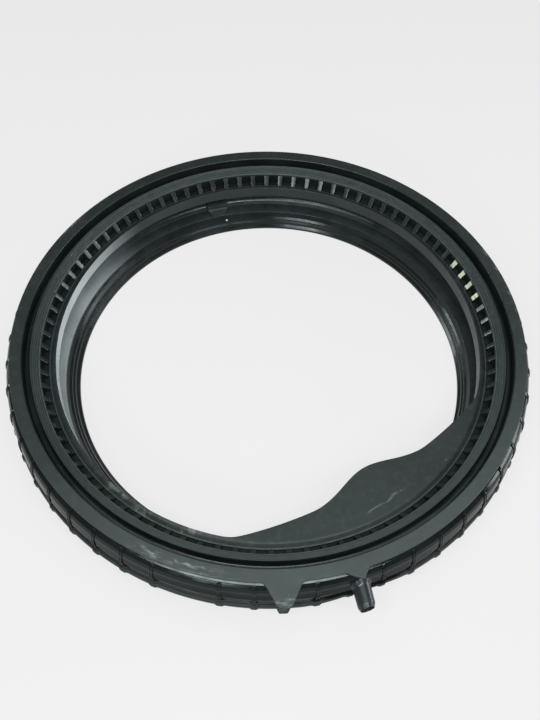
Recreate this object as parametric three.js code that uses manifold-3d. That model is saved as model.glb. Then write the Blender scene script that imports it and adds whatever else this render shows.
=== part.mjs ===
// Door seal of a front-loading washing machine, moulded in one piece of rubber.
// Millimetres, Z up. The seal lies on its back: its drum side rests on z = 0 and the door side is
// on top. The drain nozzle points along -Y. The origin is under the middle of the outer box, so the
// ring's own axis stands a little behind it.

import * as THREE from "three";
import { mergeGeometries, mergeVertices } from "three/addons/utils/BufferGeometryUtils.js";
import Module from "manifold-3d";

// Ring, measured inwards from the flange's outer edge
const flangeRadius = 208;
const flangeWidth = 10;
const clampGrooveWidth = 6;
const ridgeWidth = 6.4;
const pocketLength = 6.8;
const lipBandWidth = 5.6;
const collarSetback = 3.4;
const collarReach = 6.4;

// Heights, measured down from the flange's top face
const sealDepth = 60;
const flangeThickness = 3;
const clampGrooveDepth = 10.6;
const ridgeDrop = 2.6;
const ridgeFall = 4.9;
const ridgeSteps = 1;
const pocketFall = 8.3;
const bandRise = 2.8;
const lipHeight = 9.7;
const recessHeight = 25.3;

// Walls and hollows behind the door side
const wall = 3.4;
const recessReach = 13;
// How far out and how far down the recess turns, as parts of its reach and height
const recessShape = [[0.75, 0.04], [1, 0.3], [0.72, 0.62], [-0.12, 0.84]];
const panelSlotDepth = 6.5;
const panelSlotHeight = 3;
const collarFoot = 11.7;
const footHeight = 5;
const clampSeatDepth = 1.2;
const collarBead = 0.7;
const beadShare = 0.5;
const edgeRound = 0.7;

// Glossy roll round the outside, with the ledge under it
const rollBulge = 5.2;
const rollHeight = 27;
// How far out and how far down the roll's outline turns, as parts of its bulge and height
const rollShape = [[0.5, 0], [0.88, 0.28], [1, 0.62], [0.88, 0.94]];
const ledgeReach = 6.5;
const ledgeHeight = 6.4;

// Pockets in the lip
const pocketCount = 90;
const pocketWidth = 6.6;
const pocketSink = 0.5;
const pocketPhase = 0.8;

// Cross ribs on the roll
const ribCount = 54;
const ribWidth = 3.6;
const ribRise = 0.8;
const ribBumpRise = 1.2;
const ribMissingBeyondTab = 3;
// The rows of ribs on both sides of the tab drift from their even pitch, in degrees
const ribDriftLeftAngle = 1.3;
const ribDriftRightAngle = -0.9;

// Positioning tab in the flange's plane and the wide bump under its tip
const tabAngle = -15;
const tabRootWidth = 28;
const tabTipRadius = 7;
const tabReach = 17.3;
const tabBumpWidth = 8.5;
const tabBumpRise = 3.9;

// Drain nozzle with the small gusset over its root
const nozzleDrop = 19;
const nozzleDiameter = 13;
const nozzleBore = 9.6;
const nozzleReach = 23;
const nozzleFlare = 1.6;
const nozzleChamfer = 1.2;
const gussetLeft = 10.5;
const gussetRight = 6.5;
const gussetReach = 6.8;
const gussetTip = 2;

// Wide shelf that carries on the lip's band inwards
const flapAngle = 14;
const flapThickness = 3.2;
const flapHalfAngle = 40.5;
const flapShelf = 25;
const flapTongue = 12.8;
const flapTongueHalfAngle = 20;
const flapCornerSoftness = 1;
const flapRunOutAngle = 3;
const flapSteps = 30;
const flapBackSteps = 8;

// Pad that bridges the recess opposite the nozzle
const padAngle = 178;
const padTopWidth = 22;
const padFootWidth = 9;

const ringSegments = 60;
const nozzleSegments = 14;
const colour = 0x2b3231;
const roughness = 0.55;

const degree = Math.PI / 180;
const V = (r, z) => new THREE.Vector2(r, z);

// Radii and heights that follow from the sizes above
const grooveOuter = flangeRadius - flangeWidth;
const ridgeOuter = grooveOuter - clampGrooveWidth;
const pocketOuter = ridgeOuter - ridgeWidth;
const pocketInner = pocketOuter - pocketLength;
const lipRadius = pocketInner - lipBandWidth;
const collarTopRadius = lipRadius - collarSetback;
const collarRadius = collarTopRadius - collarReach;
const grooveFloor = sealDepth - clampGrooveDepth;
const ridgeTop = sealDepth - ridgeDrop;
const ridgeFoot = ridgeTop - ridgeFall;
const valley = ridgeFoot - pocketFall;
const lipTop = valley + bandRise;
const lipUnderside = lipTop - lipHeight;
const collarTop = lipUnderside - recessHeight;
const hollowTop = grooveFloor - wall;
const slotTop = sealDepth - flangeThickness;
const rollTop = slotTop - panelSlotHeight;
const rollFoot = rollTop - rollHeight;
const rollRadius = flangeRadius + rollBulge;
const ledgeRadius = flangeRadius + ledgeReach;
const ledgeFoot = rollFoot - ledgeHeight;
const footRadius = collarRadius + collarFoot;
const clampSeat = footRadius - clampSeatDepth;

// Outside of the roll from the panel slot down, standing out by a rise that grows from its top
function rollLine(rise) {
  const start = grooveOuter + wall;
  const bulge = rollRadius - start;
  return rollShape.map(([out, down], i) => V(
    start + bulge * out + (i === 0 ? rise / 2 : rise),
    rollTop - rollHeight * down,
  ));
}

// Rounded hollow under the lip from its top down, pushed out into the wall behind it
function recessLine(push) {
  const slant = push * Math.SQRT1_2;
  return recessShape.map(([out, down], i) => V(
    lipRadius + recessReach * out + (i < 2 ? push : slant),
    lipUnderside - recessHeight * down - (i < 2 ? 0 : slant),
  ));
}

// Section from the flange inwards over the door side, down the inside, and up the back
function sectionLine() {
  const line = [
    V(flangeRadius - edgeRound, sealDepth),
    V(grooveOuter, sealDepth),
    V(grooveOuter - edgeRound, grooveFloor),
    V(ridgeOuter + edgeRound, grooveFloor),
    V(ridgeOuter, ridgeTop - edgeRound),
    V(ridgeOuter - edgeRound, ridgeTop),
  ];
  // Fine lines round the ridge are small steps on its slope
  const stepRun = (ridgeWidth - edgeRound) / (ridgeSteps + 1);
  const stepFall = ridgeFall / (ridgeSteps + 1);
  for (let i = 1; i <= ridgeSteps; i += 1) {
    const r = ridgeOuter - edgeRound - stepRun * i;
    line.push(V(r, ridgeTop - stepFall * (i - 0.5)));
    line.push(V(r, ridgeTop - stepFall * i));
  }
  line.push(
    V(pocketOuter, ridgeFoot),
    V(pocketInner, valley),
    V(lipRadius + edgeRound, lipTop),
    V(lipRadius, lipTop - edgeRound),
    V(lipRadius - edgeRound, lipUnderside),
  );
  line.push(...recessLine(0), V(collarTopRadius, collarTop));
  // A fine bead runs round the collar as it leans in
  const beadHeight = collarTop * beadShare;
  const beadRadius = collarRadius + collarReach * beadShare;
  line.push(
    V(beadRadius + collarBead, beadHeight + collarBead),
    V(beadRadius - collarBead, beadHeight),
    V(collarRadius, edgeRound * 3),
    V(collarRadius + edgeRound, 0),
    V(footRadius, 0),
    V(footRadius, footHeight),
    V(clampSeat, footHeight + clampSeatDepth),
  );
  // The back of the hollow, one wall out from its inside
  const [, upper, lower, foot] = recessLine(wall);
  line.push(foot, lower, upper, V(upper.x, hollowTop));
  // Inside of the roll, one wall in from its outside
  const roll = rollLine(0);
  line.push(
    V(roll[1].x - wall, roll[1].y - wall),
    V(roll[2].x - wall, roll[2].y),
    V(roll[3].x - wall, ledgeFoot),
    V(ledgeRadius - edgeRound, ledgeFoot),
    V(ledgeRadius, rollFoot - ledgeHeight * 0.2),
    V(roll[3].x - edgeRound, rollFoot),
    roll[3],
    roll[2],
    roll[1],
    roll[0],
    V(flangeRadius - panelSlotDepth, rollTop),
    V(flangeRadius - panelSlotDepth, slotTop),
    V(flangeRadius, slotTop),
    V(flangeRadius, sealDepth - edgeRound),
  );
  return line;
}

// How far the shelf reaches in from the lip at an angle from its middle
function flapReach(angle) {
  const shelf = flapShelf * (1 - (angle / flapHalfAngle) ** 2);
  const near = Math.abs(angle) < flapTongueHalfAngle;
  const tongue = near ? flapTongue * Math.cos((angle / flapTongueHalfAngle) * Math.PI / 2) ** 2 : 0;
  return flapCornerSoftness * Math.log(1 + Math.exp((shelf + tongue) / flapCornerSoftness));
}

function plain(geometry) {
  const bare = geometry.index ? geometry.toNonIndexed() : geometry.clone();
  bare.deleteAttribute("normal");
  bare.deleteAttribute("uv");
  return mergeVertices(bare, 1e-4);
}

// Turns a closed line in the radius and height plane round the Z axis
function turned(line, segments) {
  const closed = [...line, line[0].clone()];
  const body = new THREE.LatheGeometry(closed, segments);
  body.rotateX(Math.PI / 2);
  return plain(body);
}

function outline(points) {
  return new THREE.Shape(points);
}

// Flat plate seen from above, between two heights
function plate(shape, low, high, curveSegments = 8) {
  const body = new THREE.ExtrudeGeometry(shape, {
    depth: high - low, bevelEnabled: false, curveSegments, steps: 1,
  });
  body.translate(0, 0, low);
  return plain(body);
}

// Plate standing in the radius and height plane at the nozzle's side, centred on -Y
function rib(points, width) {
  const body = new THREE.ExtrudeGeometry(outline(points), {
    depth: width, bevelEnabled: false, steps: 1,
  });
  body.translate(0, 0, -width / 2);
  body.rotateX(Math.PI / 2);
  body.rotateZ(-Math.PI / 2);
  return plain(body);
}

function placed(geometry, angle) {
  return geometry.clone().rotateZ(angle * degree);
}

const wasm = await Module();
wasm.setup();

function solid(geometry) {
  return new wasm.Manifold(new wasm.Mesh({
    numProp: 3,
    vertProperties: new Float32Array(geometry.attributes.position.array),
    triVerts: new Uint32Array(geometry.index.array),
  }));
}

// Pits cut into the slope between the ridge and the valley along the lip's band
function pockets() {
  const all = [];
  const half = pocketWidth / 2;
  const outer = pocketOuter - edgeRound / 2;
  const shape = outline([
    V(-half, -outer), V(half, -outer), V(half, -pocketInner), V(-half, -pocketInner),
  ]);
  const box = plate(shape, valley - pocketSink, ridgeTop);
  for (let i = 0; i < pocketCount; i += 1) {
    all.push(placed(box, pocketPhase + (i * 360) / pocketCount));
  }
  return mergeGeometries(all);
}

// Outline of a cross rib over the roll, ending in a bump on the ledge
function ribLine(bump) {
  const roll = rollLine(ribRise);
  return [
    roll[1],
    roll[2],
    V(ledgeRadius + bump, rollFoot - edgeRound),
    V(ledgeRadius + bump * 0.8, ledgeFoot + edgeRound),
    V(ledgeRadius - wall, ledgeFoot + edgeRound),
    V(rollRadius - wall / 2, rollTop - rollHeight * 0.6),
    V(roll[0].x - ribRise, rollTop - ribRise),
  ];
}

// Angle of a rib that is so many places from the tab, to its right or, below zero, to its left
function ribAngle(place) {
  const share = Math.abs(place) / (ribCount / 2);
  const drift = place > 0
    ? ribDriftRightAngle * Math.sin(Math.PI * share)
    : ribDriftLeftAngle * (1 - share);
  return tabAngle + (place * 360) / ribCount + drift;
}

function ribs() {
  const parts = [];
  const narrow = rib(ribLine(ribBumpRise), ribWidth);
  for (let i = 1; i < ribCount; i += 1) {
    const place = i < ribCount / 2 ? i : i - ribCount;
    const angle = ribAngle(place);
    const atNozzle = Math.abs(angle) * degree * flangeRadius < nozzleDiameter;
    if (!atNozzle && place !== -ribMissingBeyondTab) {
      parts.push(placed(narrow, angle));
    }
  }
  parts.push(placed(rib(ribLine(tabBumpRise), tabBumpWidth), tabAngle));
  return mergeGeometries(parts);
}

function tab() {
  const shape = new THREE.Shape();
  const tip = flangeRadius + tabReach - tabTipRadius;
  const lean = Math.atan2(tabRootWidth / 2 - tabTipRadius, tip - flangeRadius);
  const root = grooveOuter + flangeWidth * 0.4;
  shape.moveTo(-tabRootWidth / 2, -root);
  shape.lineTo(-tabRootWidth / 2, -flangeRadius + edgeRound * 2);
  shape.absarc(0, -tip, tabTipRadius, Math.PI + lean, 2 * Math.PI - lean, false);
  shape.lineTo(tabRootWidth / 2, -flangeRadius + edgeRound * 2);
  shape.lineTo(tabRootWidth / 2, -root);
  return placed(plate(shape, slotTop, sealDepth, 6), tabAngle);
}

function gusset() {
  const root = grooveOuter + flangeWidth * 0.4;
  const edge = flangeRadius - edgeRound;
  return plate(outline([
    V(-gussetLeft, -root), V(-gussetLeft, -edge), V(-gussetTip / 2, -flangeRadius - gussetReach),
    V(gussetTip / 2, -flangeRadius - gussetReach), V(gussetRight, -edge), V(gussetRight, -root),
  ]), slotTop, sealDepth);
}

function flap() {
  const points = [];
  const end = flapHalfAngle + flapRunOutAngle;
  const anchor = lipRadius + lipBandWidth / 2;
  const at = (radius, angle) => V(
    radius * Math.sin(angle * degree),
    -radius * Math.cos(angle * degree),
  );
  for (let i = 0; i <= flapSteps; i += 1) {
    const angle = -end + (2 * end * i) / flapSteps;
    points.push(at(lipRadius - flapReach(angle), angle));
  }
  for (let i = flapBackSteps; i >= 0; i -= 1) {
    points.push(at(anchor, -end + (2 * end * i) / flapBackSteps));
  }
  return placed(plate(outline(points), lipTop - flapThickness, lipTop), flapAngle);
}

// The pad is a leaning block cut to a trapezoid that narrows down to the foot of the recess
function pad() {
  const top = lipUnderside + edgeRound;
  const back = recessLine(wall / 2);
  const foot = recessLine(0).pop();
  const bottom = foot.y - edgeRound;
  const depth = rib([
    V(lipRadius - edgeRound / 2, top), V(back[0].x, top), ...back, V(foot.x, bottom),
  ], padTopWidth);
  const front = new THREE.ExtrudeGeometry(outline([
    V(-padTopWidth / 2, top), V(-padFootWidth / 2, bottom),
    V(padFootWidth / 2, bottom), V(padTopWidth / 2, top),
  ]), { depth: flangeRadius, bevelEnabled: false, steps: 1 });
  front.rotateX(Math.PI / 2);
  return solid(placed(depth, padAngle)).intersect(solid(placed(plain(front), padAngle)));
}

// Tube drawn along -Y from a line in its own radius and length plane
function tube(line) {
  const body = turned(line, nozzleSegments);
  body.rotateX(Math.PI / 2);
  body.translate(0, 0, sealDepth - nozzleDrop);
  return body;
}

function nozzle() {
  const outer = nozzleDiameter / 2;
  const end = flangeRadius + nozzleReach;
  const root = rollRadius - wall * 1.4;
  return tube([
    V(0, root), V(outer + nozzleFlare, root), V(outer + nozzleFlare, rollRadius - nozzleFlare),
    V(outer, rollRadius + nozzleFlare), V(outer, end - nozzleChamfer * 2),
    V(outer - nozzleChamfer, end),
    V(0, end),
  ]);
}

function bore() {
  const inner = nozzleBore / 2;
  const end = flangeRadius + nozzleReach;
  const start = grooveOuter + wall;
  return tube([V(0, start), V(inner, start), V(inner, end + wall), V(0, end + wall)]);
}

function sealSolid() {
  let body = solid(turned(sectionLine(), ringSegments));
  body = body.subtract(solid(pockets()));
  for (const part of [ribs(), tab(), gusset(), flap(), nozzle()]) {
    body = body.add(solid(part));
  }
  body = body.add(pad());
  return body.subtract(solid(bore()));
}

function meshOf(body, name) {
  const data = body.getMesh();
  const geometry = new THREE.BufferGeometry();
  const position = new THREE.BufferAttribute(new Float32Array(data.vertProperties), 3);
  geometry.setAttribute("position", position);
  geometry.setIndex(new THREE.BufferAttribute(new Uint32Array(data.triVerts), 1));
  geometry.computeVertexNormals();
  const material = new THREE.MeshStandardMaterial({ color: colour, roughness, metalness: 0 });
  const mesh = new THREE.Mesh(geometry, material);
  mesh.name = name;
  return mesh;
}

// The nozzle reaches out in front and the rib bumps reach out at the back
const frontReach = flangeRadius + nozzleReach;
const backReach = ledgeRadius + ribBumpRise;

const seal = meshOf(sealSolid(), "door_seal");
seal.position.set(0, (frontReach - backReach) / 2, 0);

const sealGroup = new THREE.Group();
sealGroup.name = "washing_machine_door_seal";
sealGroup.add(seal);

export default sealGroup;
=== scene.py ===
import math

import bmesh
import bpy
from mathutils import Matrix, Vector


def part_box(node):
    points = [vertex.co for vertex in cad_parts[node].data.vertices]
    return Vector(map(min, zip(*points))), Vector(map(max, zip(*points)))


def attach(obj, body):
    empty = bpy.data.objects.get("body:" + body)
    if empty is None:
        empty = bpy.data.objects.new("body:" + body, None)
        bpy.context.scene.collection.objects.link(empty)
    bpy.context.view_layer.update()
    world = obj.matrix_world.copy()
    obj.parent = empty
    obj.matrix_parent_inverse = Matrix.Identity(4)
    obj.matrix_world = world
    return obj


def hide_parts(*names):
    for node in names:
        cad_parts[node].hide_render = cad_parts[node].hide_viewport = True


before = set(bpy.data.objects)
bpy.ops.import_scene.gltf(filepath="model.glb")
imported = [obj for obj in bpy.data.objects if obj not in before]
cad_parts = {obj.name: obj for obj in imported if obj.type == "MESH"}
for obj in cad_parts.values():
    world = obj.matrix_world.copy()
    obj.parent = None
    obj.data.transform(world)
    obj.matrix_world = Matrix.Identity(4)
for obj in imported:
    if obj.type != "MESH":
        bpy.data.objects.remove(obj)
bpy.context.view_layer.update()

bl_info = {
    "name": "Washing machine door seal",
    "version": (1, 0, 0),
    "blender": (4, 5, 0),
    "location": "View3D > Sidebar > Door seal",
    "description": "Builds a rubber door seal with pocketed lip, ribbed roll, shelf and nozzle",
    "category": "Add Mesh",
}

MM = 0.001
NODE = "door_seal"
BODY = "root"

# The flange's upper face, from which all depths are measured
SEAL_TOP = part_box(NODE)[1][2]
FLANGE_THICK = 3 * MM


def length(name, text, value):
    return bpy.props.FloatProperty(
        name=name, description=text, default=value, unit="LENGTH", subtype="DISTANCE", precision=5)


def turn(name, text, value):
    return bpy.props.FloatProperty(
        name=name, description=text, default=math.radians(value), unit="ROTATION",
        subtype="ANGLE")


def tint(name, text, value):
    return bpy.props.FloatVectorProperty(
        name=name, description=text, default=value, subtype="COLOR", size=3, min=0, max=1)


def share(name, text, value):
    return bpy.props.FloatProperty(name=name, description=text, default=value, min=0, max=4)


class SealSizes(bpy.types.PropertyGroup):
    axis_y: length("Axis", "How far the ring's axis stands behind the origin", 7.65 * MM)
    flange: length("Flange radius", "Outer radius of the flat flange", 208 * MM)
    groove: length("Groove radius", "Outer radius of the clamp groove", 198 * MM)
    ridge: length("Ridge radius", "Outer radius of the ridge", 192 * MM)
    pocket_out: length("Pocket outer radius", "Where the pockets begin", 185.6 * MM)
    pocket_in: length("Pocket inner radius", "Where the pockets end", 178.8 * MM)
    lip: length("Lip radius", "Inner radius of the lip", 173.2 * MM)
    collar_top: length("Collar top radius", "Radius of the collar's upper edge", 169.8 * MM)
    collar: length("Collar radius", "Smallest radius of the collar", 163.4 * MM)
    pocket_floor: length("Pocket floor", "Depth of a pocket's floor below the flange", 17.3 * MM)
    pocket_phase: turn("Pocket phase", "Angle of the first pocket from the nozzle", 0.8)
    pocket_count: bpy.props.IntProperty(
        name="Pockets", description="Number of pockets round the lip", default=90, min=12)
    rib_count: bpy.props.IntProperty(
        name="Rib places", description="Number of places for cross ribs", default=54, min=12)
    rib_rise: length("Rib rise", "How far a cross rib stands out of the roll", 0.8 * MM)
    rib_drift_left: turn("Left drift", "How far the ribs left of the tab leave their pitch", 1.3)
    rib_drift_right: turn("Right drift", "The same for the ribs right of the tab", -0.9)
    tab_angle: turn("Tab angle", "Angle of the positioning tab from the nozzle", -15)
    tab_reach: length("Tab reach", "How far the tab stands out of the flange", 17.3 * MM)
    tab_bend: length("Tab rounding", "Radius of the tab's end", 7 * MM)
    flap_angle: turn("Shelf angle", "Angle of the shelf's middle from the nozzle", 14)
    flap_span: turn("Shelf half span", "Half the angle that the shelf takes up", 40.5)
    flap_shelf: length("Shelf reach", "Reach of the wide part of the shelf", 25 * MM)
    flap_tongue: length("Tongue reach", "Extra reach of the tongue in its middle", 12.8 * MM)
    flap_thick: length("Shelf thickness", "Thickness of the shelf", 3.2 * MM)
    nozzle_drop: length("Nozzle drop", "Nozzle's axis below the flange", 19 * MM)
    nozzle_radius: length("Nozzle radius", "Outer radius of the nozzle", 6.5 * MM)
    nozzle_bore: length("Nozzle bore", "Radius of the nozzle's bore", 4.8 * MM)
    nozzle_reach: length("Nozzle reach", "How far the nozzle reaches past the flange", 23 * MM)
    nozzle_lean: length("Nozzle lean", "How far the nozzle's end leans aside", -2.2 * MM)
    pad_angle: turn("Pad angle", "Angle of the pad in the recess from the nozzle", 178)


class SealFinish(bpy.types.PropertyGroup):
    matt: tint("Matt rubber", "Colour of the matt faces", (0.0122, 0.0160, 0.0158))
    gloss: tint("Glossy rubber", "Colour of the glossy faces", (0.0075, 0.0098, 0.0105))
    dust: tint("Dust", "Colour of the dust in the corners", (0.13, 0.15, 0.115))
    chalk: tint("Chalk", "Colour of the pale rubs", (0.22, 0.25, 0.23))
    # Colour of the painted reflection on the recess and the lip's face at the left
    painted_reflection: tint("Bloom", "Colour of the pale bloom in the recess", (0.32, 0.365, 0.375))
    # Colour of the painted glints on a few pocket walls at the ring's right side
    glint_paint: tint("Deposit", "Colour of the pale deposits in some pockets", (0.42, 0.47, 0.3))
    # Also the colour of the painted highlights along edges and of the painted lighter near side
    edge: tint("Worn edge", "Colour of the worn edges", (0.085, 0.105, 0.105))
    paper: tint("Background", "Colour of the floor and backdrop", (0.81, 0.81, 0.81))
    matt_rough: share("Matt roughness", "Roughness of the matt faces", 0.5)
    gloss_rough: share("Gloss roughness", "Roughness of the glossy faces", 0.2)


class SealStage(bpy.types.PropertyGroup):
    azimuth: turn("Azimuth", "Camera's turn round the ring from the nozzle's side", -19)
    elevation: turn("Elevation", "Camera's height above the flange's plane", 56.82)
    roll: turn("Roll", "Camera's turn round its own line of sight", 1.37)
    distance: length("Distance", "Camera's distance from the point it looks at", 675 * MM)
    aim_x: length("Aim across", "Where the camera looks, across the ring", 1.6 * MM)
    aim_y: length("Aim along", "Where the camera looks, towards the camera", -27.8 * MM)
    lens: bpy.props.FloatProperty(
        name="Lens", description="Focal length for a 36 mm long side", default=42.5,
        unit="CAMERA", min=1)


def sizes():
    return bpy.context.scene.seal_sizes


def finish():
    return bpy.context.scene.seal_finish


# Angles round the ring are measured from the nozzle, anticlockwise seen from above

def spot(radius, angle, height):
    return Vector((
        radius * math.sin(angle),
        sizes().axis_y - radius * math.cos(angle),
        height,
    ))


def polar(co):
    y = co.y - sizes().axis_y
    return math.hypot(co.x, y), math.atan2(co.x, -y)


def wrap(angle):
    return (angle + math.pi) % (2 * math.pi) - math.pi


def away(angle, pitch, phase):
    return abs((angle - phase + pitch / 2) % pitch - pitch / 2)


def bell(value, half):
    return math.cos(value / half * math.pi / 2) ** 2 if abs(value) < half else 0.0


def soft_edge(value, inside, outside):
    """1 up to inside, falling softly to 0 at outside"""
    t = min(max((outside - value) / (outside - inside), 0), 1)
    return t * t * (3 - 2 * t)


def deselect_objects():
    if bpy.context.object and bpy.context.object.mode != "OBJECT":
        bpy.ops.object.mode_set(mode="OBJECT")
    bpy.ops.object.select_all(action="DESELECT")


def edit(piece, kind="FACE"):
    deselect_objects()
    bpy.context.view_layer.objects.active = piece
    piece.select_set(True)
    bpy.ops.object.mode_set(mode="EDIT")
    bpy.ops.mesh.select_mode(type=kind)
    bpy.ops.mesh.select_all(action="DESELECT")
    return bmesh.from_edit_mesh(piece.data)


def leave():
    bpy.ops.object.mode_set(mode="OBJECT")


def pick(mesh, things, test):
    count = 0
    for thing in things:
        if test(thing):
            thing.select_set(True)
            count += 1
    bmesh.update_edit_mesh(bpy.context.object.data)
    if not count:
        raise RuntimeError("nothing to select on " + bpy.context.object.name)
    return count


# Steps in a corner whose rounding is up to the given size in mm
ROUNDING_STEPS = ((0.3, 1), (1, 2), (2.5, 3), (math.inf, 5))


def rounded(corners):
    """Outline from corners, each with its radius, its height from the top and its rounding"""
    points = []
    count = len(corners)
    for i, (r, z, size) in enumerate(corners):
        steps = next(number for limit, number in ROUNDING_STEPS if size <= limit)
        here = Vector((r, z))
        back = Vector(corners[i - 1][:2]) - here
        ahead = Vector(corners[(i + 1) % count][:2]) - here
        if size <= 0:
            points.append(here)
            continue
        reach = min(back.length, ahead.length) * 0.48
        half = back.angle(ahead) / 2
        cut = min(size / max(math.tan(half), 1e-4), reach)
        start = here + back.normalized() * cut
        end = here + ahead.normalized() * cut
        for k in range(steps + 1):
            t = k / steps
            points.append(start * (1 - t) ** 2 + here * 2 * t * (1 - t) + end * t ** 2)
    return points


def spun(name, corners, turns, start):
    """Turns a rounded outline once round the ring's axis"""
    line = rounded(corners)
    deselect_objects()
    bpy.ops.mesh.primitive_circle_add(vertices=len(line), radius=MM, fill_type="NOTHING")
    piece = bpy.context.object
    piece.name = piece.data.name = name
    piece.location = (0, sizes().axis_y, 0)
    for vertex, point in zip(piece.data.vertices, line):
        vertex.co = spot(point.x * MM, start, SEAL_TOP + point.y * MM) - piece.location
    screw = piece.modifiers.new("Turn", "SCREW")
    screw.steps = screw.render_steps = turns
    screw.use_merge_vertices = True
    screw.merge_threshold = 0.01 * MM
    bpy.ops.object.modifier_apply(modifier=screw.name)
    bpy.ops.object.transform_apply(location=True, rotation=False, scale=False)
    edit(piece)
    bpy.ops.mesh.select_all(action="SELECT")
    bpy.ops.mesh.normals_make_consistent(inside=False)
    leave()
    return piece


def smooth(piece, angle=56):
    """Smooth shading, in which the large faces stay flat beside their roundings"""
    deselect_objects()
    bpy.context.view_layer.objects.active = piece
    piece.select_set(True)
    bpy.ops.object.shade_smooth_by_angle(angle=math.radians(angle), keep_sharp_edges=False)
    weigh = piece.modifiers.new("Flat faces", "WEIGHTED_NORMAL")
    weigh.keep_sharp = True
    bpy.ops.object.modifier_apply(modifier=weigh.name)


def settle(piece, *names):
    """Gives a finished piece its materials, and its place on the part's body"""
    for name in names:
        piece.data.materials.append(rubber(name))
    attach(piece, BODY)


def apply_bevel(piece, width, segments=2, angle=30):
    deselect_objects()
    bpy.context.view_layer.objects.active = piece
    piece.select_set(True)
    bevel = piece.modifiers.new("Rounding", "BEVEL")
    bevel.width = width
    bevel.segments = segments
    bevel.limit_method = "ANGLE"
    bevel.angle_limit = math.radians(angle)
    bpy.ops.object.modifier_apply(modifier=bevel.name)


# Materials

class Nodes:
    """Short way to add shader nodes and join them"""

    def __init__(self, name):
        self.material = bpy.data.materials.new(name)
        self.material.use_nodes = True
        self.tree = self.material.node_tree
        self.shader = self.tree.nodes["Principled BSDF"]

    def add(self, kind, **settings):
        node = self.tree.nodes.new(kind)
        for key, value in settings.items():
            setattr(node, key, value)
        return node

    def put(self, socket, value):
        if isinstance(value, bpy.types.NodeSocket):
            self.tree.links.new(value, socket)
        else:
            socket.default_value = value

    def math(self, operation, first, second=0.0, clamp=False):
        node = self.add("ShaderNodeMath", operation=operation, use_clamp=clamp)
        self.put(node.inputs[0], first)
        self.put(node.inputs[1], second)
        return node.outputs[0]

    def ramp(self, value, low, high, start=0.0, end=1.0):
        node = self.add("ShaderNodeMapRange", interpolation_type="SMOOTHSTEP")
        self.put(node.inputs["Value"], value)
        node.inputs["From Min"].default_value = low
        node.inputs["From Max"].default_value = high
        node.inputs["To Min"].default_value = start
        node.inputs["To Max"].default_value = end
        return node.outputs["Result"]

    def mix(self, share_in, first, second):
        node = self.add("ShaderNodeMix", data_type="RGBA")
        self.put(node.inputs["Factor"], share_in)
        self.put(node.inputs["A"], first)
        self.put(node.inputs["B"], second)
        return node.outputs["Result"]

    def noise(self, place, scale, detail=3.0, rough=0.5):
        node = self.add("ShaderNodeTexNoise")
        self.put(node.inputs["Vector"], place)
        node.inputs["Scale"].default_value = scale
        node.inputs["Detail"].default_value = detail
        node.inputs["Roughness"].default_value = rough
        return node.outputs["Fac"]

    def band(self, value, middle, half, soft):
        """1 within half of middle, falling to 0 over soft"""
        off = self.math("ABSOLUTE", self.math("SUBTRACT", value, middle))
        return self.ramp(off, half, half + soft, 1.0, 0.0)

    def patch(self, *bands):
        """1 where every value is in its band, given as value, middle, half and soft edge"""
        result = 1.0
        for one in bands:
            result = self.math("MULTIPLY", self.band(*one), result)
        return result

    def cloudy(self, rgb, place, scale, darker, lighter):
        """Colour that drifts between a darker and a lighter share of itself"""
        cloud = self.ramp(self.noise(place, scale, 4.0), 0.35, 0.7)
        return self.mix(cloud, colour([c * darker for c in rgb]),
                        colour([c * lighter for c in rgb]))

    def bump(self, height, strength, distance):
        node = self.add("ShaderNodeBump")
        node.inputs["Strength"].default_value = strength
        node.inputs["Distance"].default_value = distance
        self.put(node.inputs["Height"], height)
        self.put(self.shader.inputs["Normal"], node.outputs["Normal"])


def colour(rgb):
    return (*rgb, 1.0)


def ring_places(n):
    """Object coordinates with the ring's axis in the middle, its radius, angle and height"""
    place = n.add("ShaderNodeTexCoord").outputs["Object"]
    shift = n.add("ShaderNodeMapping")
    shift.inputs["Location"].default_value = (0, -sizes().axis_y, 0)
    n.put(shift.inputs["Vector"], place)
    split = n.add("ShaderNodeSeparateXYZ")
    n.put(split.inputs[0], shift.outputs[0])
    x, y, z = split.outputs
    radius = n.math("SQRT", n.math("ADD", n.math("MULTIPLY", x, x), n.math("MULTIPLY", y, y)))
    angle = n.math("MULTIPLY", n.math("ARCTAN2", x, n.math("MULTIPLY", y, -1.0)), 180 / math.pi)
    return shift.outputs[0], radius, angle, z


# Painted highlights along edges, which show as fine pale lines: radius in mm and strength
EDGE_HIGHLIGHTS = (
    (191.95, 0.5), (189.9, 0.3), (188.5, 0.22), (187.1, 0.3), (185.5, 0.6), (178.6, 0.3),
)

# Chalky smears: middle, half width and soft edge in degrees, the same in mm of radius, strength
SMEARS = (
    ((-36, 5, 7), (204.8, 1.2, 2.8), 1.0),
    ((-141, 2, 4), (207.5, 0.8, 1.8), 1.0),
    ((89, 8, 8), (206.8, 0.6, 1.8), 0.7),
    ((-15, 2.2, 0.8), (225, 3, 6), 0.9),
)

# Wavy scratch on the shelf: its middle from the ring's axis, its turn and half its length
SCRATCH_PLACE = (38 * MM, -162 * MM)
SCRATCH_TURN = math.radians(17)
SCRATCH_HALF = 13 * MM


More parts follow.
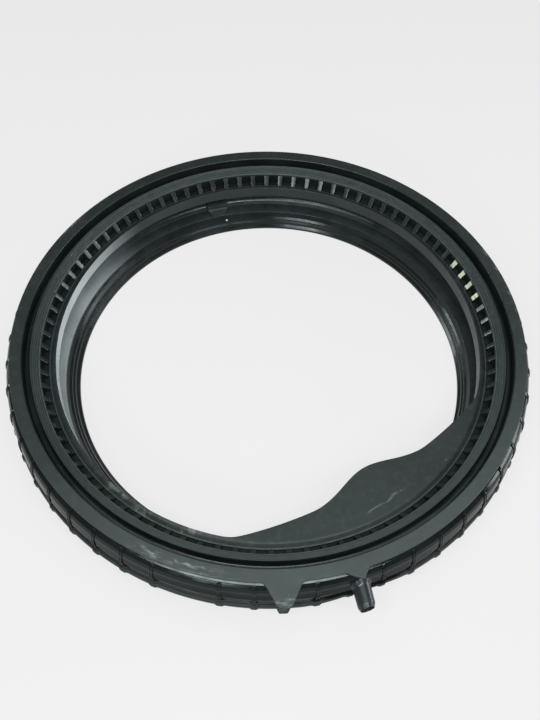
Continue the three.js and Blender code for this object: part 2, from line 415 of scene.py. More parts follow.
def dusted_and_near_lit(n, base, place, radius, angle, height):
    """Painted light on the near side of the rim outside the pockets, and olive dust on the lip's
    band left of the tab
    """
    look = finish()
    sides = n.add("ShaderNodeSeparateXYZ")
    n.put(sides.inputs[0], place)
    # Painted light: the rim outside the pockets is lighter towards the near side
    near_side_light = n.ramp(sides.outputs["Y"], -210 * MM, -20 * MM, 0.24, 0.0)
    near_side_light = n.math("MULTIPLY", near_side_light, n.ramp(radius, 183.5 * MM, 187.5 * MM))
    near_side_light = n.math("MULTIPLY", near_side_light, n.ramp(height, SEAL_TOP - 14 * MM, SEAL_TOP - 6 * MM))
    base = n.mix(near_side_light, base, colour(look.edge))
    grain = n.ramp(n.noise(place, 130, 5.0, 0.65), 0.5, 0.68)
    olive = n.patch((angle, -47, 9, 10), (radius, 176.5 * MM, 3 * MM, 4 * MM))
    olive = n.math("MULTIPLY", grain, olive)
    return n.mix(n.math("MULTIPLY", olive, 0.62), base, colour(look.dust)), grain


def smeared_and_edge_lit(n, base, radius, angle):
    """Chalky smears, and painted highlights along edges, broken up by streaks that run round the
    ring
    """
    look = finish()
    polar_place = n.add("ShaderNodeCombineXYZ")
    n.put(polar_place.inputs["X"], n.math("MULTIPLY", radius, 1 / MM))
    n.put(polar_place.inputs["Y"], n.math("MULTIPLY", angle, 0.9))
    streaks = n.noise(polar_place.outputs[0], 0.42, 5.0, 0.62)
    smears = 0.0
    for turned, out, strength in SMEARS:
        smear = n.patch((angle, *turned), (radius, *(value * MM for value in out)))
        smears = n.math("ADD", n.math("MULTIPLY", smear, strength), smears, clamp=True)
    smears = n.math("MULTIPLY", smears, n.ramp(streaks, 0.46, 0.7))
    base = n.mix(n.math("MULTIPLY", smears, 0.62), base, colour(look.chalk))
    # Painted highlights along the ridge's lines and the pockets' edges
    lines = 0.0
    for middle, strength in EDGE_HIGHLIGHTS:
        line = n.band(radius, middle * MM, 0.12 * MM, 0.3 * MM)
        lines = n.math("ADD", n.math("MULTIPLY", line, strength), lines)
    lines = n.math("MULTIPLY", lines, n.ramp(streaks, 0.3, 0.62, 0.35, 1.0), clamp=True)
    return n.mix(lines, base, colour(look.edge))


def scratched(n, base, place):
    """The wavy scratch on the shelf, and single pale specks all over"""
    look = finish()
    middle_x, middle_y = SCRATCH_PLACE
    moved = n.add("ShaderNodeMapping")
    moved.inputs["Location"].default_value = (-middle_x, -middle_y, 0)
    n.put(moved.inputs["Vector"], place)
    turned = n.add("ShaderNodeVectorRotate", rotation_type="Z_AXIS")
    n.put(turned.inputs["Vector"], moved.outputs[0])
    turned.inputs["Angle"].default_value = -SCRATCH_TURN
    split = n.add("ShaderNodeSeparateXYZ")
    n.put(split.inputs[0], turned.outputs[0])
    waver = n.math("MULTIPLY", n.math("SUBTRACT", n.noise(place, 60, 3.0), 0.5), 9 * MM)
    line = n.patch((n.math("ADD", split.outputs[1], waver), 0, 0.3 * MM, 0.8 * MM),
                   (split.outputs[0], 0, SCRATCH_HALF, 8 * MM))
    line = n.math("MULTIPLY", line, n.ramp(n.noise(place, 300, 3.0), 0.3, 0.6))
    base = n.mix(n.math("MULTIPLY", line, 0.22), base, colour(look.chalk))
    cells = n.add("ShaderNodeTexVoronoi")
    n.put(cells.inputs["Vector"], place)
    cells.inputs["Scale"].default_value = 95
    chance = n.add("ShaderNodeSeparateColor")
    n.put(chance.inputs[0], cells.outputs["Color"])
    speck = n.math("MULTIPLY", n.ramp(cells.outputs["Distance"], 0.02, 0.05, 1.0, 0.0),
                   n.ramp(chance.outputs[0], 0.9, 0.93))
    return n.mix(n.math("MULTIPLY", speck, 0.8), base, colour(look.chalk))


def matt_rubber():
    """Matt moulded rubber with faint blotches, fine grain, dust, rubs and specks, painted edge
    highlights and a painted lighter near side
    """
    look = finish()
    n = Nodes("matt_rubber")
    place, radius, angle, height = ring_places(n)
    base = n.cloudy(look.matt, place, 22, 0.88, 1.14)
    mottle = n.ramp(n.noise(place, 190, 4.0, 0.6), 0.45, 0.75)
    base = n.mix(n.math("MULTIPLY", mottle, 0.1), base, colour(look.edge))
    base, grain = dusted_and_near_lit(n, base, place, radius, angle, height)
    base = smeared_and_edge_lit(n, base, radius, angle)
    base = scratched(n, base, place)
    n.put(n.shader.inputs["Base Color"], base)
    rough = n.ramp(n.noise(place, 60, 3.0), 0.3, 0.7,
                   look.matt_rough - 0.07, look.matt_rough + 0.07)
    n.put(n.shader.inputs["Roughness"], rough)
    n.shader.inputs["Specular IOR Level"].default_value = 0.29
    n.shader.inputs["Specular Tint"].default_value = (0.84, 1.0, 0.96, 1.0)
    fine = n.noise(place, 900, 2.0)
    n.bump(n.math("ADD", fine, n.math("MULTIPLY", grain, 0.4)), 0.25, 0.1 * MM)
    return n.material


# Small white speck on the collar: its radius, angle and depth below the flange
COLLAR_SPECK = (169.2 * MM, math.radians(175.8), 48.2 * MM)


def with_painted_reflection(n, base, place, radius, angle, height):
    """Painted reflection: a pale patch on the recess and the lip's face, left of the ring"""
    left = n.band(n.math("ABSOLUTE", angle), 108, 17, 32)
    left = n.math("MULTIPLY", left, n.ramp(angle, -60, -80))
    recess = n.patch((height, 26 * MM, 10 * MM, 2 * MM), (radius, 178 * MM, 8 * MM, 3 * MM))
    recess = n.math("MULTIPLY", recess, n.ramp(height, 17 * MM, 35 * MM, 0.62, 0.3))
    face = n.patch((height, 42 * MM, 5 * MM, MM), (radius, 172.6 * MM, 0.9 * MM, 0.6 * MM))
    left = n.math("MULTIPLY", left, n.math("ADD", recess, face, clamp=True))
    left = n.math("MULTIPLY", left, n.ramp(n.noise(place, 40, 3.0), 0.25, 0.6, 0.75, 1.0))
    return n.mix(left, base, colour(finish().painted_reflection))


def gloss_rubber(name, roughness=None, lift=1.0, sheen=0.25, cool=0.86, low_sheen=None,
                 painted_glints=False):
    """Smooth moulded rubber with a soft shine, faint flow marks, a little dust and a painted
    reflection at the left, and painted glints on the walls where asked
    """
    look = finish()
    roughness = look.gloss_rough if roughness is None else roughness
    n = Nodes(name)
    place, radius, angle, height = ring_places(n)
    base = n.cloudy(look.gloss, place, 30, 0.8 * lift, 1.25 * lift)
    radius_out, turned, down = COLLAR_SPECK
    speck = n.add("ShaderNodeVectorMath", operation="DISTANCE")
    n.put(speck.inputs[0], n.add("ShaderNodeTexCoord").outputs["Object"])
    speck.inputs[1].default_value = spot(radius_out, turned, SEAL_TOP - down)
    base = n.mix(n.ramp(speck.outputs["Value"], 0.4 * MM, 1.2 * MM, 0.9, 0.0), base,
                 (0.7, 0.74, 0.72, 1.0))
    # Painted reflection on the recess and the lip's face at the left
    base = with_painted_reflection(n, base, place, radius, angle, height)
    # Painted glints: pale squares on the pocket walls at the ring's right side
    if painted_glints:
        glint_paint = n.patch((angle, 92.3, 8.2, 0.8), (radius, 182.1 * MM, 1.6 * MM, 0.6 * MM))
        glint_paint = n.math("MULTIPLY", glint_paint, n.ramp(n.noise(place, 260, 3.0), 0.3, 0.5, 0.4, 0.85))
        base = n.mix(glint_paint, base, colour(look.glint_paint))
    grime = n.ramp(n.noise(place, 240, 5.0, 0.7), 0.66, 0.8)
    base = n.mix(n.math("MULTIPLY", grime, 0.12), base, colour(look.dust))
    n.put(n.shader.inputs["Base Color"], base)
    rough = n.ramp(n.noise(place, 75, 4.0), 0.3, 0.7, roughness - 0.05, roughness + 0.08)
    n.put(n.shader.inputs["Roughness"], rough)
    if low_sheen is not None:
        sheen = n.ramp(height, SEAL_TOP - 17.5 * MM, SEAL_TOP - 10.5 * MM, low_sheen, sheen)
    n.put(n.shader.inputs["Specular IOR Level"], sheen)
    n.shader.inputs["Specular Tint"].default_value = (cool, 0.94 + cool * 0.05, 1.0, 1.0)
    n.bump(n.noise(place, 180, 3.0), 0.12, 0.2 * MM)
    return n.material


# How each smooth finish differs from plain glossy rubber
SMOOTH_FINISHES = {
    "gloss_rubber": {},
    "satin_rubber": {"roughness": 0.27, "lift": 1.5, "sheen": 0.32},
    "pocket_rubber": {"roughness": 0.6, "lift": 1.1, "sheen": 0.05},
    "wall_rubber": {"roughness": 0.24, "lift": 1.7, "sheen": 0.4, "painted_glints": True},
    "roll_rubber": {
        "roughness": 0.13, "lift": 0.8, "sheen": 0.2, "cool": 0.84, "low_sheen": 0.012},
}


def rubber(name):
    """Material of that name, made when it is first asked for"""
    made = bpy.data.materials.get(name)
    if made:
        return made
    if name == "matt_rubber":
        return matt_rubber()
    return gloss_rubber(name, **SMOOTH_FINISHES[name])


# Share of the floor's colour that the camera and reflections see without its shadow
FLOOR_GLOW = 0.88


def floor_paper():
    """Pale floor that shows its own colour to the camera and keeps a soft shadow"""
    look = finish()
    n = Nodes("floor_paper")
    n.shader.inputs["Base Color"].default_value = colour(look.paper)
    n.shader.inputs["Roughness"].default_value = 0.9
    n.shader.inputs["Specular IOR Level"].default_value = 0.0
    glow = n.add("ShaderNodeEmission")
    glow.inputs["Color"].default_value = colour(look.paper)
    rays = n.add("ShaderNodeLightPath")
    seen = n.math("ADD", rays.outputs["Is Camera Ray"], rays.outputs["Is Glossy Ray"])
    seen = n.math("ADD", seen, rays.outputs["Is Transmission Ray"])
    blend = n.add("ShaderNodeMixShader")
    n.put(blend.inputs[0], n.math("MULTIPLY", seen, FLOOR_GLOW))
    n.put(blend.inputs[1], n.shader.outputs[0])
    n.put(blend.inputs[2], glow.outputs[0])
    n.put(n.tree.nodes["Material Output"].inputs["Surface"], blend.outputs[0])
    return n.material


# Ring with the flange, the clamp groove, the pocketed lip, the recess and the collar

RING_TURNS = 540
PIT_HALF = math.radians(4 / 3)
RING_FINISHES = ("matt_rubber", "gloss_rubber", "satin_rubber", "pocket_rubber", "wall_rubber")
MATT, GLOSS, SATIN, POCKET, WALL = range(5)

# Depths below the flange's face in mm
RIDGE_DROP = 2.6
SLOPE_FOOT = 7.5
GROOVE_FLOOR = 10.6
LIP_DROP = 13.0
SEAL_DEPTH = 60.0

# The sides of a pocket stand out most at its ends and its middle, and not at all in between
POCKET_SWELL = math.radians(0.16)
POCKET_FALL = math.radians(1.9)
POCKET_MIDDLE = 0.52

# The loose collar leans out of round: amount in mm at its foot, and the angle it leans to
COLLAR_START = 43
COLLAR_LEAN = ((1.95, 161), (-1.35, 251))
COLLAR_GATHER = -0.9

TONGUE_HALF = math.radians(20)


def ring_corners():
    """Section of the ring, from the flange's edge inwards, down the collar and back outside"""
    s = sizes()
    flange, groove, ridge = s.flange / MM, s.groove / MM, s.ridge / MM
    out, inn, lip = s.pocket_out / MM, s.pocket_in / MM, s.lip / MM
    top, low_edge = s.collar_top / MM, s.collar / MM
    plate, shelf = FLANGE_THICK / MM, s.flap_thick / MM

    def slope(r):
        return -RIDGE_DROP - (ridge - r) / (ridge - out) * (SLOPE_FOOT - RIDGE_DROP)

    # Flange, clamp groove and ridge
    corners = [
        (flange, 0.0, 0.6),
        (groove + 1.9, 0.0, 0.0),
        (groove, 0.0, 1.3),
        (groove - 0.6, -GROOVE_FLOOR, 1.7),
        (ridge + 0.6, -GROOVE_FLOOR, 1.7),
        (ridge, -RIDGE_DROP, 0.9),
    ]
    # Fine lines run round the slope of the ridge
    for r in (ridge - 2.1, ridge - 3.5, ridge - 4.9):
        corners += [
            (r + 0.45, slope(r + 0.45), 0.0),
            (r, slope(r) + 0.34, 0.15),
            (r - 0.2, slope(r - 0.2) - 0.34, 0.1),
            (r - 0.6, slope(r - 0.6), 0.0),
        ]
    # Slope in which the pockets are sunk
    corners += [
        (out + 0.3, slope(out + 0.3), 0.3),
        (out - 0.35, -7.45, 0.25),
        (out - 0.9, -8.6, 0.4),
        (out - 2.0, -9.94, 0.0),
        (out - 3.4, -11.64, 0.0),
        (out - 4.8, -13.35, 0.0),
    ]
    # Valley, the lip's band and its inner face
    corners += [
        (inn + 0.15, -15.6, 0.4),
        (inn - 0.9, -15.5, 0.8),
        (inn - 3.2, -13.7, 2.2),
        (lip + 0.7, -LIP_DROP - 0.05, 0.0),
        (lip, -LIP_DROP - 0.1, 0.45),
        (lip - 0.05, -LIP_DROP - shelf, 0.0),
        (lip - 0.75, -22.7, 0.5),
    ]
    # Rounded recess and its fine lower edge
    corners += [
        (lip + 2.2, -23.3, 1.5),
        (lip + 9.6, -23.9, 4.0),
        (lip + 13.2, -31.0, 6.0),
        (lip + 11.2, -38.6, 7.0),
        (lip + 6.6, -41.3, 3.0),
        (lip + 0.6, -43.3, 1.0),
        (lip - 1.4, -43.9, 0.5),
    ]
    # Leaning collar with its bead and foot
    corners += [
        (top + 0.5, -46.9, 0.6),
        (top - 0.2, -48.2, 0.5),
        (top - 1.9, -50.2, 0.4),
        (top - 2.2, -51.4, 0.5),
        (top - 3.5, -52.6, 0.5),
        (top - 4.3, -54.6, 0.3),
        (low_edge + 0.8, -56.0, 0.3),
        (low_edge + 0.1, -56.7, 0.5),
        (low_edge, -58.6, 0.6),
        (low_edge + 0.7, -SEAL_DEPTH, 0.6),
        (low_edge + 11.7, -SEAL_DEPTH, 0.3),
        (low_edge + 11.7, -55.0, 0.3),
    ]
    # Clamp seat, the recess's back and the flange's underside
    corners += [
        (low_edge + 10.5, -53.8, 0.0),
        (low_edge + 10.5, -50.4, 0.0),
        (lip + 3.0, -47.3, 2.0),
        (lip + 11.8, -41.8, 4.0),
        (lip + 16.4, -30.3, 4.0),
        (lip + 16.4, -14.0, 1.5),
        (flange - 6.5, -15.9, 0.0),
        (flange - 6.5, -plate, 0.3),
        (flange, -plate, 0.5),
    ]
    return corners


def shelf_reach(angle):
    """How far the shelf stands in from the lip, falling softly to nothing at its ends"""
    s = sizes()
    shelf = s.flap_shelf * (1 - (angle / s.flap_span) ** 2)
    tongue = s.flap_tongue * bell(angle, TONGUE_HALF)
    soft = MM
    return soft * math.log(1 + math.exp((shelf + tongue) / soft))


class SEAL_OT_ring(bpy.types.Operator):
    """Ring with the flange, clamp groove, pocketed lip, shelf, recess and collar"""

    bl_idname = "seal.ring"
    bl_label = "Ring and shelf"

    def execute(self, context):
        s = sizes()
        pitch = 2 * math.pi / s.pocket_count
        start = s.pocket_phase - PIT_HALF
        piece = spun("seal_ring", ring_corners(), RING_TURNS, start)
        self.sink_pockets(piece, pitch)
        self.draw_shelf(piece)
        self.lean_collar(piece)
        smooth(piece)
        settle(piece, *RING_FINISHES)
        for face in piece.data.polygons:
            face.material_index = self.finish_of(face)
        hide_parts(NODE)
        return {"FINISHED"}

    def sink_pockets(self, piece, pitch):
        """Swells the pockets' sides a little and sinks the pockets into the slope"""
        s = sizes()
        step = 2 * math.pi / RING_TURNS
        for vertex in piece.data.vertices:
            radius, angle = polar(vertex.co)
            down = (SEAL_TOP - vertex.co.z) / MM
            if s.pocket_in - 0.1 * MM < radius < s.pocket_out - 0.4 * MM and 7.5 < down < 16:
                off = (angle - s.pocket_phase + pitch / 2) % pitch - pitch / 2
                if abs(abs(off) - PIT_HALF) < step * 0.2:
                    along = (s.pocket_out - radius) / (s.pocket_out - s.pocket_in)
                    swell = POCKET_SWELL - POCKET_FALL * (along - POCKET_MIDDLE) ** 2
                    vertex.co = spot(radius, angle + math.copysign(swell, off), vertex.co.z)
        mesh = edit(piece)

        def in_pocket(face):
            middle = face.calc_center_median()
            radius, angle = polar(middle)
            return (s.pocket_in < radius < s.pocket_out - 0.9 * MM and face.normal.z > 0.3
                    and SEAL_TOP - 15.9 * MM < middle.z < SEAL_TOP - 8 * MM
                    and away(angle, pitch, s.pocket_phase) < PIT_HALF + math.radians(0.1))

        pick(mesh, mesh.faces, in_pocket)
        bpy.ops.mesh.inset(thickness=0.3 * MM, depth=-0.15 * MM, use_individual=False)
        bpy.ops.mesh.extrude_region_move(TRANSFORM_OT_translate={"value": (0, 0, 0)})
        mesh = bmesh.from_edit_mesh(piece.data)
        floor = SEAL_TOP - s.pocket_floor
        for vertex in mesh.verts:
            if vertex.select:
                vertex.co.z = min(vertex.co.z - 0.3 * MM, floor)
        bmesh.update_edit_mesh(piece.data)
        leave()

    def lean_collar(self, piece):
        """Lets the loose collar stand a little out of round"""
        for vertex in piece.data.vertices:
            radius, angle = polar(vertex.co)
            down = (SEAL_TOP - vertex.co.z) / MM
            if down > COLLAR_START and radius < sizes().lip + 5 * MM:
                out = COLLAR_GATHER + sum(
                    amount * math.cos(angle - math.radians(side)) for amount, side in COLLAR_LEAN)
                share_down = (down - COLLAR_START) / (SEAL_DEPTH - COLLAR_START)
                vertex.co = spot(radius + out * MM * share_down, angle, vertex.co.z)

    def draw_shelf(self, piece):
        """Draws the lip's edge inwards to the shelf and its tongue"""
        s = sizes()
        mesh = edit(piece)
        end = s.flap_span + math.radians(3)

        def on_edge(face):
            middle = face.calc_center_median()
            radius, angle = polar(middle)
            return (abs(radius - s.lip) < 0.68 * MM
                    and LIP_DROP - 0.01 < (SEAL_TOP - middle.z) / MM < LIP_DROP + s.flap_thick / MM
                    and abs(wrap(angle - s.flap_angle)) < end)

        pick(mesh, mesh.faces, on_edge)
        bpy.ops.mesh.extrude_region_move(TRANSFORM_OT_translate={"value": (0, 0, 0)})
        mesh = bmesh.from_edit_mesh(piece.data)
        for vertex in mesh.verts:
            if vertex.select:
                radius, angle = polar(vertex.co)
                reach = shelf_reach(wrap(angle - s.flap_angle))
                vertex.co = spot(radius - reach, angle, vertex.co.z - reach * 0.02)
        bmesh.update_edit_mesh(piece.data)
        leave()

    def finish_of(self, face):
        """Finish of a face of the ring, by its place and how upright it stands"""
        s = sizes()
        radius, angle = polar(face.center)
        down = (SEAL_TOP - face.center.z) / MM
        level = abs(face.normal.z)
        if s.ridge - 0.4 * MM < radius < s.groove + 0.1 * MM and down > 1.4:
            return GLOSS
        if radius < s.lip + 14 * MM and down > 18:
            return GLOSS if down > 43.6 else SATIN
        if s.pocket_in < radius < s.pocket_out and (down > 16.1 or down > 8.5 and level < 0.35):
            return POCKET
        if s.pocket_in + 0.3 * MM < radius < s.pocket_out - 0.5 * MM and 8 < down < 16:
            return WALL
        if s.groove - 0.4 * MM < radius < s.groove + 1.4 * MM and down < 1.4:
            return SATIN
        if radius < s.lip + MM and down > 13.2 and level < 0.7:
            return SATIN
        return MATT


# Outer roll with its cross ribs and the ledge under it

ROLL_TURNS = 1080
ROLL_FINISHES = ("roll_rubber", "matt_rubber")

# Depths below the flange's face in mm
RIB_TOP = 6.6
RIB_FOOT = 32.9
LEDGE_TOP = 33.2

# Rib places are counted from the tab; one has no rib, and one is taken by the nozzle
BARE_PLACE = -3
NOZZLE_CLEAR = math.radians(3.2)

# Insets that raise a rib: width, and rise as a share of the rib's own
RIB_STEPS = ((0.25 * MM, 0), (0.15 * MM, 1), (0.35 * MM, 0.125))

# Bumps on the ledge under the tab and under a rib: rise, and half its width at top and foot
TAB_BUMP = (3.7 * MM, 3.3 * MM, 5.6 * MM)
RIB_BUMP = (1.0 * MM, 1.8 * MM, 3.6 * MM)

# Dent in the ledge at the nozzle: its middle, half its width, and how far it goes in and up
DENT_MIDDLE = math.radians(1)
DENT_HALF = math.radians(12.5)
DENT_IN = 1.3 * MM
DENT_UP = 2.6 * MM


def roll_corners():
    """Section of the roll, from under the flange down to the ledge and back up inside"""
    flange = sizes().flange / MM
    return [
        (flange - 8.0, -6.1, 0.0),
        (flange - 3.0, -5.9, 1.2),
        (flange + 0.4, -7.0, 2.4),
        (flange + 2.7, -8.9, 2.4),
        (flange + 4.2, -11.7, 2.4),
        (flange + 5.1, -16.0, 2.4),
        (flange + 5.5, -22.4, 5.0),
        (flange + 5.1, -28.6, 4.0),
        (flange + 3.6, -32.2, 2.0),
        (flange + 3.1, -33.3, 0.25),
        (flange + 4.5, -33.4, 0.0),
        (flange + 4.8, -34.3, 0.15),
        (flange + 5.3, -33.7, 0.1),
        (flange + 6.2, -34.3, 0.8),
        (flange + 6.7, -36.6, 1.6),
        (flange + 6.3, -39.2, 0.9),
        (flange + 4.0, -39.5, 0.3),
        (flange + 0.6, -39.4, 0.0),
        (flange + 0.8, -31.0, 0.0),
        (flange + 1.8, -23.0, 0.0),
        (flange + 0.4, -16.9, 0.0),
        (flange - 8.0, -15.62, 0.0),
    ]


class SEAL_OT_roll(bpy.types.Operator):
    """Glossy roll round the outside with its cross ribs, and the ledge under it"""

    bl_idname = "seal.roll"
    bl_label = "Outer roll"

    def execute(self, context):
        s = sizes()
        step = 2 * math.pi / ROLL_TURNS
        piece = spun("outer_roll", roll_corners(), ROLL_TURNS, s.tab_angle + step / 2)
        self.raise_ribs(piece, step)
        self.shape_foot(piece)
        smooth(piece)
        settle(piece, *ROLL_FINISHES)
        for face in piece.data.polygons:
            radius, angle = polar(face.center)
            on_ledge = face.center.z < SEAL_TOP - LEDGE_TOP * MM and radius > s.flange + 3 * MM
            face.material_index = 1 if on_ledge else 0
        return {"FINISHED"}

    def raise_ribs(self, piece, step):
        """Raises the cross ribs, each with a fine line along its back"""
        s = sizes()
        pitch = 2 * math.pi / s.rib_count
        mesh = edit(piece)

        def near_rib(half, face):
            middle = face.calc_center_median()
            radius, angle = polar(middle)
            down = (SEAL_TOP - middle.z) / MM
            off = wrap(angle - s.tab_angle)
            place = round(off / pitch)
            if abs(wrap(angle)) < NOZZLE_CLEAR or place == BARE_PLACE:
                return False
            outward = Vector((math.sin(angle), -math.cos(angle), 0)).dot(face.normal)
            return (abs(off - place * pitch) < half * step and RIB_TOP < down < RIB_FOOT
                    and outward > 0.02 and radius > s.flange - 1 * MM)

        pick(mesh, mesh.faces, lambda face: near_rib(1.5, face))
        for width, rise in RIB_STEPS:
            bpy.ops.mesh.inset(thickness=width, depth=rise * s.rib_rise, use_individual=False)
        bpy.ops.mesh.select_all(action="DESELECT")
        mesh = bmesh.from_edit_mesh(piece.data)
        pick(mesh, mesh.faces, lambda face: near_rib(0.4, face))
        bpy.ops.mesh.inset(thickness=0.12 * MM, depth=-0.3 * MM, use_individual=False)
        leave()

    def shape_foot(self, piece):
        """Swells the ledge under the ribs, dents it at the nozzle and lets the ribs drift"""
        s = sizes()
        pitch = 2 * math.pi / s.rib_count
        for vertex in piece.data.vertices:
            radius, angle = polar(vertex.co)
            down = (SEAL_TOP - vertex.co.z) / MM
            place = wrap(angle - s.tab_angle) / pitch
            swell = 0
            if radius > s.flange + 2.9 * MM and down > LEDGE_TOP:
                across = abs(place - round(place)) * pitch * s.flange
                if abs(place) < 0.5:
                    rise, flat, foot = TAB_BUMP
                    rise *= min((down - LEDGE_TOP) / 1.2, 1)
                    swell = rise * soft_edge(across, flat, foot)
                elif round(place) != BARE_PLACE:
                    rise, flat, foot = RIB_BUMP
                    swell = rise * soft_edge(across, flat, foot)
            dent = bell(wrap(angle - DENT_MIDDLE), DENT_HALF) * min(max((down - 24) / 10, 0), 1)
            share_out = abs(place) / (s.rib_count / 2)
            if place > 0:
                drift = s.rib_drift_right * math.sin(math.pi * share_out)
            else:
                drift = s.rib_drift_left * (1 - share_out) * min(-place, 1)
            vertex.co = spot(radius + swell - DENT_IN * dent, angle + drift,
                             vertex.co.z + DENT_UP * dent)


# Flat tongues in the flange's plane: the positioning tab and the gusset over the nozzle

# Outlines: across from the middle line in mm, and out from the flange's edge in mm
TAB_SIDE = ((-14.2, -4), (-14.4, -0.5), (-13.2, 0.7), (-10.4, 5.4))
GUSSET = ((-11.5, -4), (-11.0, -0.6), (-3.0, 5.4), (-1.2, 6.7), (0.6, 6.6), (6.3, -0.3), (6.8, -4))

# The tongues end this far below the flange's face, so that no two faces share one plane
TONGUE_DROP = 0.02 * MM


class SEAL_OT_tabs(bpy.types.Operator):
    """Positioning tab and the small gusset over the nozzle's root"""

    bl_idname = "seal.tabs"
    bl_label = "Tab and gusset"

    def execute(self, context):
        s = sizes()
        side = [(across * MM, s.flange + out * MM) for across, out in TAB_SIDE]
        middle = s.flange + s.tab_reach - s.tab_bend
        end = []
        for k in range(17):
            turned = math.radians(-60 + k * 7.5)
            end.append((s.tab_bend * math.sin(turned), middle + s.tab_bend * math.cos(turned)))
        other_side = [(-across, out) for across, out in reversed(side)]
        tab = self.plate("positioning_tab", side + end + other_side, s.tab_angle)
        outline = [(across * MM, s.flange + out * MM) for across, out in GUSSET]
        gusset = self.plate("nozzle_gusset", outline, 0.0)
        for piece in (tab, gusset):
            apply_bevel(piece, 0.45 * MM, 2, 50)
            smooth(piece)
            settle(piece, "matt_rubber")
        return {"FINISHED"}

    def plate(self, name, line, angle):
        """Plate from an outline across and out, turned to its place on the ring"""
        deselect_objects()
        bpy.ops.mesh.primitive_circle_add(vertices=len(line), radius=MM, fill_type="NGON")
        piece = bpy.context.object
        piece.name = piece.data.name = name
        piece.location = (0, 0, 0)
        for vertex, (across, out) in zip(piece.data.vertices, line):
            co = Matrix.Rotation(angle, 3, "Z") @ Vector((across, -out, 0))
            vertex.co = co + Vector((0, sizes().axis_y, SEAL_TOP - FLANGE_THICK))
        edit(piece)
        bpy.ops.mesh.select_all(action="SELECT")
        bpy.ops.mesh.extrude_region_move(
            TRANSFORM_OT_translate={"value": (0, 0, FLANGE_THICK - TONGUE_DROP)})
        bpy.ops.mesh.select_all(action="SELECT")
        bpy.ops.mesh.normals_make_consistent(inside=False)
        leave()
        return piece


# Drain nozzle

class SEAL_OT_nozzle(bpy.types.Operator):
    """Drain nozzle with its flared root, chamfered end and bore"""

    bl_idname = "seal.nozzle"
    bl_label = "Drain nozzle"

    def execute(self, context):
        s = sizes()
        end = s.flange + s.nozzle_reach
        root = s.flange + 2.2 * MM
        outer, bore = s.nozzle_radius, s.nozzle_bore
        line = [
            (bore, root), (outer + 2.6 * MM, root), (outer + 1.9 * MM, root + 2.2 * MM),
            (outer + 0.7 * MM, root + 4.2 * MM), (outer + 0.15 * MM, root + 6.5 * MM),
            (outer - 0.05 * MM, end - 3.4 * MM), (outer - 0.15 * MM, end - 2.9 * MM),
            (outer - 1.2 * MM, end - 0.3 * MM), (bore + 0.35 * MM, end), (bore, end - 0.4 * MM),
            (bore, end - 4 * MM),
        ]
        deselect_objects()
        bpy.ops.mesh.primitive_circle_add(vertices=len(line), radius=MM, fill_type="NOTHING")
        piece = bpy.context.object
        piece.name = piece.data.name = "drain_nozzle"
        piece.location = (0, 0, 0)
        height = SEAL_TOP - s.nozzle_drop
        for vertex, (radius, out) in zip(piece.data.vertices, line):
            vertex.co = (radius, s.axis_y - out, height)
        edit(piece, "VERT")
        bpy.ops.mesh.select_all(action="SELECT")
        bpy.ops.mesh.spin(steps=48, angle=2 * math.pi, center=(0, 0, height), axis=(0, 1, 0))
        bpy.ops.mesh.select_all(action="SELECT")
        bpy.ops.mesh.remove_doubles(threshold=0.01 * MM)
        bpy.ops.mesh.normals_make_consistent(inside=False)
        leave()
        for vertex in piece.data.vertices:
            out = s.axis_y - vertex.co.y
            vertex.co.x += s.nozzle_lean * (out - root) / (end - root)
        smooth(piece)
        settle(piece, "satin_rubber")
        return {"FINISHED"}


# Pad that bridges the recess, opposite the nozzle. Its upper and lower face: half the width,
# then the front and the back edge's distance out from the lip and depth below the flange

PAD_TOP = (10 * MM, (2.2 * MM, 37.5 * MM), (13 * MM, 33.5 * MM))
PAD_FOOT = (6 * MM, (-1.2 * MM, 43.7 * MM), (6 * MM, 43.7 * MM))


class SEAL_OT_pad(bpy.types.Operator):
    """Pad that bridges the recess opposite the nozzle"""

    bl_idname = "seal.pad"
    bl_label = "Recess pad"

    def execute(self, context):
        s = sizes()
        deselect_objects()
        bpy.ops.mesh.primitive_cube_add(size=MM)
        piece = bpy.context.object
        piece.name = piece.data.name = "recess_pad"
        piece.location = (0, 0, 0)
        for vertex in piece.data.vertices:
            half, front, back = PAD_TOP if vertex.co.z > 0 else PAD_FOOT
            out, down = front if vertex.co.y < 0 else back
            radius = s.lip + out
            across = math.copysign(half, vertex.co.x)
            vertex.co = spot(radius, s.pad_angle + across / radius, SEAL_TOP - down)
        edit(piece)
        bpy.ops.mesh.select_all(action="SELECT")
        bpy.ops.mesh.subdivide(number_cuts=6)
        bpy.ops.mesh.normals_make_consistent(inside=False)
        leave()
        apply_bevel(piece, 0.8 * MM, 3, 40)
        smooth(piece)
        settle(piece, "matt_rubber")
        return {"FINISHED"}


# Floor, lights and camera

# Lamps: name, place, the point it is aimed at, width, depth and power in watts
LAMPS = (
    ("front_top", (-0.15, -0.5, 1.0), (0, -0.1, 0), 1.1, 0.14, 12),
    ("front_window", (-0.74, -1.01, 0.83), (0, 0, 0), 0.36, 0.3, 7),
    ("overhead", (0, 0, 1.1), (0, 0, 0), 0.9, 0.8, 5.5),
    ("right_window", (0.70, 0.50, 0.90), (0, 0, 0), 0.5, 0.45, 0.6),
    ("right_side", (1.31, -0.345, 0.35), (0, 0, 0), 0.8, 0.4, 11),
    ("left_window", (-0.93, 0.79, 0.31), (0, 0, 0), 0.36, 0.2, 4),
)


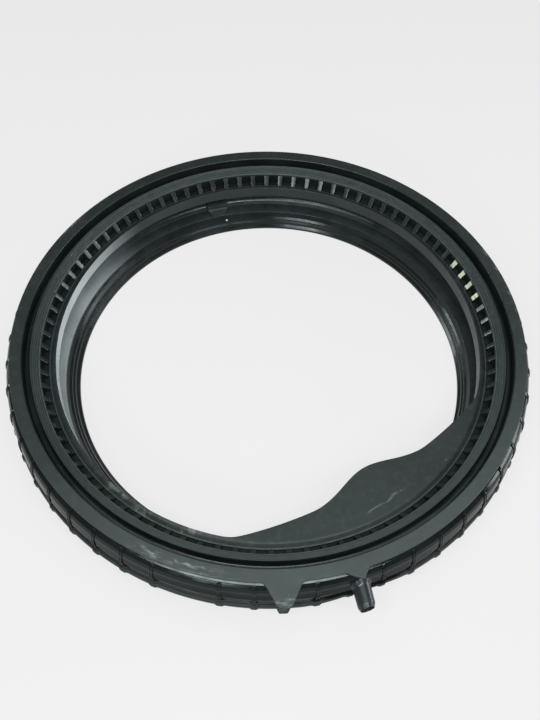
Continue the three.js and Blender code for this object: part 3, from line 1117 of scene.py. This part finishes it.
class SEAL_OT_stage(bpy.types.Operator):
    """Pale floor, soft lights and the camera"""

    bl_idname = "seal.stage"
    bl_label = "Stage"

    def execute(self, context):
        self.floor()
        self.lights(context)
        self.camera(context)
        context.scene.view_settings.view_transform = "Standard"
        return {"FINISHED"}

    def floor(self):
        deselect_objects()
        bpy.ops.mesh.primitive_plane_add(size=12, location=(0, 0, 0))
        floor = bpy.context.object
        floor.name = floor.data.name = "floor"
        floor.data.materials.append(floor_paper())

    def lights(self, context):
        world = bpy.data.worlds.new("soft_room")
        context.scene.world = world
        world.use_nodes = True
        back = world.node_tree.nodes["Background"]
        back.inputs["Color"].default_value = (0.9, 0.96, 1.0, 1.0)
        back.inputs["Strength"].default_value = 0.13
        for lamp in LAMPS:
            self.lamp(*lamp)

    def lamp(self, name, place, aim, width, depth, power):
        deselect_objects()
        bpy.ops.object.light_add(type="AREA", location=place)
        lamp = bpy.context.object
        lamp.name = lamp.data.name = name
        lamp.data.shape = "RECTANGLE"
        lamp.data.size = width
        lamp.data.size_y = depth
        lamp.data.energy = power
        lamp.rotation_euler = (Vector(aim) - Vector(place)).to_track_quat("-Z", "Y").to_euler()

    def camera(self, context):
        stage = context.scene.seal_stage
        turned = Matrix.Rotation(stage.azimuth, 3, "Z")
        aim = turned @ Vector((stage.aim_x, stage.aim_y, 0))
        aim += Vector((0, sizes().axis_y, SEAL_TOP))
        look = Vector((0, math.cos(stage.elevation), -math.sin(stage.elevation)))
        up = Vector((0, math.sin(stage.elevation), math.cos(stage.elevation)))
        right = look.cross(up)
        spin = Matrix.Rotation(stage.roll, 3, look)
        axes = [turned @ spin.inverted() @ v for v in (right, up, -look)]
        data = bpy.data.cameras.new("camera")
        data.lens = stage.lens
        data.sensor_width = 36
        data.clip_start = 0.01
        camera = bpy.data.objects.new("camera", data)
        context.scene.collection.objects.link(camera)
        place = aim - (turned @ look) * stage.distance
        matrix = Matrix((
            (axes[0].x, axes[1].x, axes[2].x, place.x),
            (axes[0].y, axes[1].y, axes[2].y, place.y),
            (axes[0].z, axes[1].z, axes[2].z, place.z),
            (0, 0, 0, 1),
        ))
        camera.matrix_world = matrix
        context.scene.camera = camera


class SEAL_PT_panel(bpy.types.Panel):
    """Lists the pieces of the seal with their sizes"""

    bl_idname = "SEAL_PT_panel"
    bl_label = "Door seal"
    bl_space_type = "VIEW_3D"
    bl_region_type = "UI"
    bl_category = "Door seal"

    def draw(self, context):
        layout = self.layout
        for step in STEPS:
            layout.operator(step.bl_idname)
        for title, group in (("Sizes", context.scene.seal_sizes),
                             ("Finish", context.scene.seal_finish),
                             ("Stage", context.scene.seal_stage)):
            column = layout.column(align=True)
            column.label(text=title)
            for key in group.__annotations__:
                column.prop(group, key)


STEPS = (SEAL_OT_ring, SEAL_OT_roll, SEAL_OT_tabs, SEAL_OT_nozzle, SEAL_OT_pad, SEAL_OT_stage)
GROUPS = {"seal_sizes": SealSizes, "seal_finish": SealFinish, "seal_stage": SealStage}
CLASSES = (*GROUPS.values(), *STEPS, SEAL_PT_panel)


def register():
    for one in CLASSES:
        bpy.utils.register_class(one)
    for name, group in GROUPS.items():
        setattr(bpy.types.Scene, name, bpy.props.PointerProperty(type=group))


def unregister():
    for name in GROUPS:
        delattr(bpy.types.Scene, name)
    for one in reversed(CLASSES):
        bpy.utils.unregister_class(one)


def main():
    register()
    bpy.ops.seal.ring()
    bpy.ops.seal.roll()
    bpy.ops.seal.tabs()
    bpy.ops.seal.nozzle()
    bpy.ops.seal.pad()
    bpy.ops.seal.stage()


if __name__ == "__main__":
    main()
